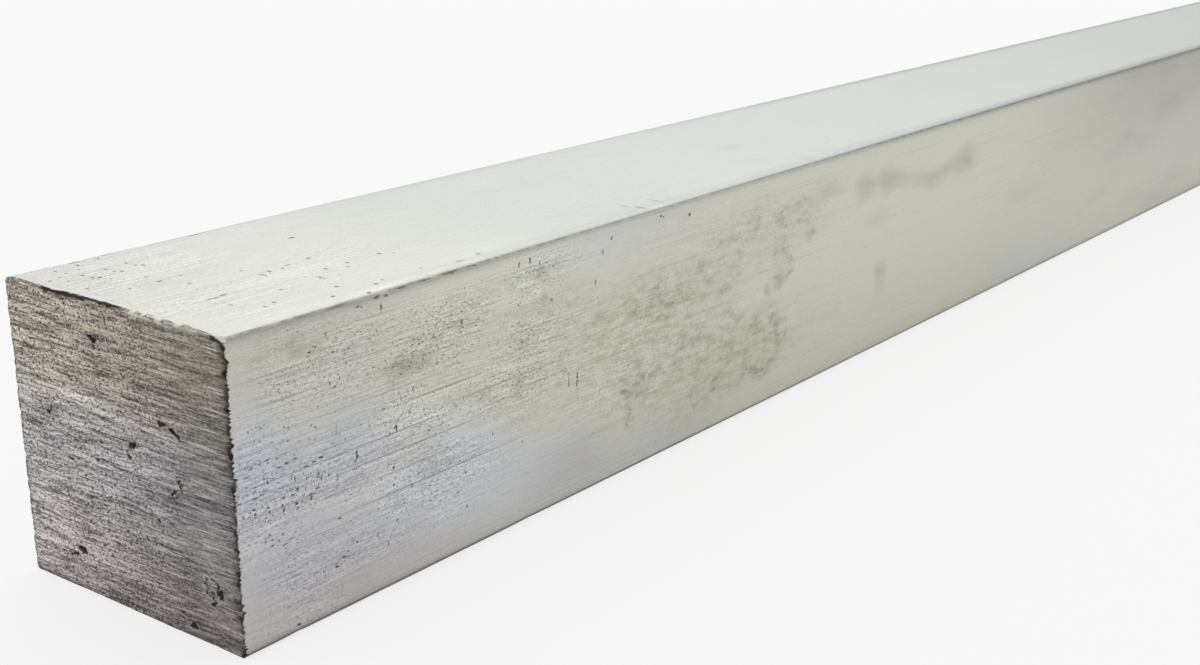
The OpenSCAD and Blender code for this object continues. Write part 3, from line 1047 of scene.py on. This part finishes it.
def sawn_metal(mark):
    """The sawn ends' finish: streaks of the cut, torn crumbs, marks, pits and rims."""
    nodes = Nodes("sawn_metal")
    paint, times, larger, span = nodes.paint, nodes.times, nodes.larger, nodes.span
    saw = nodes.attribute("saw", "Vector")
    across, down, _ = nodes.split(saw)
    flat = nodes.join(across, down, 0)

    def field(*settings):
        return nodes.noise(saw, *settings)

    # Streaks of the cut, and crumbs that are torn most on the side where the saw went in
    bands = field((0.08, 0.75))
    fine_streaks = field((0.34, 4.8), 3, 0.65)
    grain = field((2.6, 4.8), 4, 0.75)
    crumbs_too = field((3.9, 5.6, 1.7), 1.5, 0.5)
    torn = nodes.mix_value(span(across, 13, 22), 1, 0.35)
    level = nodes.sum_of((bands, 0.14), (field((0.20, 2.4)), 0.20), (fine_streaks, 0.32), (grain, 0.34))
    level = span(level, 0.40, 0.60)

    # Warm at the top, violet grey across the middle, brownish at the bottom, and darker to the right
    drift = times(field((0.15, 0.35), 3), 8)
    height_band = nodes.math("ADD", down, nodes.minus(drift, 4))
    nodes.start((189, 182, 171))
    paint(span(height_band, 4, 13), (184, 182, 185))
    paint(span(height_band, 14, 23), (188, 181, 181))
    nodes.shade(nodes.mix(span(across, 4, 25), grey(1.12), grey(0.64)))
    nodes.shade((0.70, 0.69, 0.68, 1), nodes.spots(mark, flat, END_SHADES, 0))
    nodes.shade((1.30, 1.30, 1.32, 1), nodes.spots(mark, flat, END_LIGHTS, 0))
    # The streaks' light and dark are partly the cut's own tone and partly painted highlight on its ridges and
    # painted shade in its grooves
    low = nodes.mix(torn, (0.38, 0.37, 0.37, 1), (0.23, 0.22, 0.22, 1))
    high = nodes.mix(torn, (1.80, 1.79, 1.77, 1), (1.98, 1.96, 1.93, 1))
    nodes.shade(nodes.mix(level, low, high))

    # Pale hairs and crumbs, partly painted glints; dark chips, partly painted shade in their hollows; and the
    # little marks
    hairs = times(span(field((0.20, 6.0, 1.3)), 0.57, 0.63), span(bands, 0.38, 0.58, 0.35))
    pale = larger(hairs, times(span(crumbs_too, 0.40, 0.30), torn))
    paint(pale, (238, 234, 227), 0.85)
    crumbs = field((2.2, 3.8), 3)
    chips = times(larger(span(crumbs, 0.57, 0.65), span(crumbs_too, 0.60, 0.67)), torn)
    paint(chips, (60, 56, 55), 0.85)
    marks = nodes.spots(mark, nodes.warped(flat, (1.6, 3.2), 0.22, 0.16), END_MARKS, 0.5)
    paint(marks, (50, 45, 44), 0.88)

    # The pits: painted shade inside them and a painted highlight round their lips. Then the rims: dark along
    # their fringes, with painted shadow under the top rim and its burr, and painted highlights
    pit = nodes.attribute("pit")
    pit = nodes.minus(pit, times(nodes.minus(grain, 0.5), span(pit, 0.03, 0.25, 0, 1.6)))
    paint(span(pit, 0.02, 0.15, 0, 0.5), (225, 220, 212))
    paint(span(pit, 0.20, 0.65, 0, 0.92), (50, 44, 42))
    rim = nodes.attribute("rim")
    paint(span(rim, 0.1, 0.9), (58, 50, 47))
    # Painted highlight where the rim value is below 0: the bent corner, partly burnished, and the glints
    paint(span(rim, -0.1, -0.7), (236, 237, 229))

    height = nodes.minus(nodes.math("ADD", fine_streaks, times(grain, 0.6)), chips)
    return nodes.finish(span(grain, 0.2, 0.8, 0.42, 0.62), height, 0.12)


# ---------------------------------------------------------------- floor, light and camera

FLOOR_REACH = 5  # metres from the middle
FLOOR_GREY = 0.85
FLOOR_GLOW = 0.75  # the share of pure white in what the camera sees of the floor
SURROUNDING_LIGHT = 0.53
# Lamps: name, place, what it is aimed at, size and power, in metres and watts
LAMPS = (
    ("key", (0.1, 0.2, 1.5), (0, 0, 0), (3.0, 3.0), 17),
    ("back", (0.8, 0.65, 0.95), (-0.1, 0, 0), (1.2, 0.8), 2.3),
)


def add_floor():
    mesh = bpy.data.meshes.new("floor")
    corners = [(-1, -1), (1, -1), (1, 1), (-1, 1)]
    mesh.from_pydata([(x * FLOOR_REACH, y * FLOOR_REACH, 0) for x, y in corners], [], [(0, 1, 2, 3)])
    nodes = Nodes("floor")
    looks = {"Base Color": grey(FLOOR_GREY), "Roughness": 1, "Specular IOR Level": 0}
    nodes.fill(nodes.shader, looks)
    camera_ray = nodes.add("ShaderNodeLightPath").outputs["Is Camera Ray"]
    white = nodes.add("ShaderNodeEmission").outputs[0]
    shares = {0: nodes.times(camera_ray, FLOOR_GLOW), 1: nodes.shader.outputs[0], 2: white}
    blend = nodes.add("ShaderNodeMixShader", shares).outputs[0]
    nodes.fill(nodes.tree.nodes["Material Output"], {"Surface": blend})
    mesh.materials.append(nodes.material)
    floor = add_object("floor", mesh)


def add_light():
    world = bpy.data.worlds.new("world")
    bpy.context.scene.world = world
    world.use_nodes = True
    background = world.node_tree.nodes["Background"]
    background.inputs["Color"].default_value = grey(1)
    background.inputs["Strength"].default_value = SURROUNDING_LIGHT
    for name, place, aim, size, power in LAMPS:
        lamp = bpy.data.lights.new(name, "AREA")
        lamp.shape = "RECTANGLE"
        lamp.size, lamp.size_y = size
        lamp.energy = power
        turned = (Vector(aim) - Vector(place)).to_track_quat("-Z", "Y").to_matrix().to_4x4()
        add_object(name, lamp).matrix_world = Matrix.Translation(place) @ turned


# Camera: place from the middle of the near end's underside, in sides of the bar
CAMERA_PLACE = Vector((-2.695, -3.867, 2.363))
CAMERA_HEADING = math.radians(37.39)
CAMERA_DIP = math.radians(17.63)
CAMERA_ROLL = math.radians(0.84)
LENS = 48.16  # millimetres, as is the sensor
SENSOR = 36.0
CLIP = (0.005, 50)  # metres


def add_camera():
    camera = bpy.data.cameras.new("camera")
    camera.lens = LENS
    camera.sensor_fit = "HORIZONTAL"
    camera.sensor_width = SENSOR
    camera.clip_start, camera.clip_end = CLIP
    camera.dof.use_dof = False
    forward = Vector((
        math.cos(CAMERA_DIP) * math.cos(CAMERA_HEADING),
        math.cos(CAMERA_DIP) * math.sin(CAMERA_HEADING),
        -math.sin(CAMERA_DIP),
    ))
    level_right = forward.cross(Vector((0, 0, 1))).normalized()
    level_up = level_right.cross(forward)
    right = level_right * math.cos(CAMERA_ROLL) + level_up * math.sin(CAMERA_ROLL)
    up = right.cross(forward)
    place = (Vector((-HALF_LENGTH, 0, 0)) + CAMERA_PLACE * SIDE) * MM
    axes = Matrix((right, up, -forward)).transposed()
    holder = add_object("camera", camera)
    holder.matrix_world = Matrix.Translation(place) @ axes.to_4x4()
    bpy.context.scene.camera = holder


# ---------------------------------------------------------------- the scene

bar = make_bar()
mark = mark_group("mark", False)
ring = mark_group("ring", True)
side_rows = {"dark": FRONT_LINES, "light": FRONT_LIGHT_LINES, "nicks": FRONT_MARKS, "rings": WATER_RINGS}
flat_rows = {"dark": TOP_LINES, "light": TOP_LIGHT_LINES, "nicks": TOP_MARKS}
bar.data.materials.append(mill_finish("mill_finish_side", mark, ring, side_rows, upright=True))
bar.data.materials.append(mill_finish("mill_finish_flat", mark, ring, flat_rows, upright=False))
bar.data.materials.append(sawn_metal(mark))
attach(bar, "root")
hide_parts("square_bar")

add_floor()
add_light()
add_camera()
bpy.context.scene.view_settings.view_transform = "Standard"
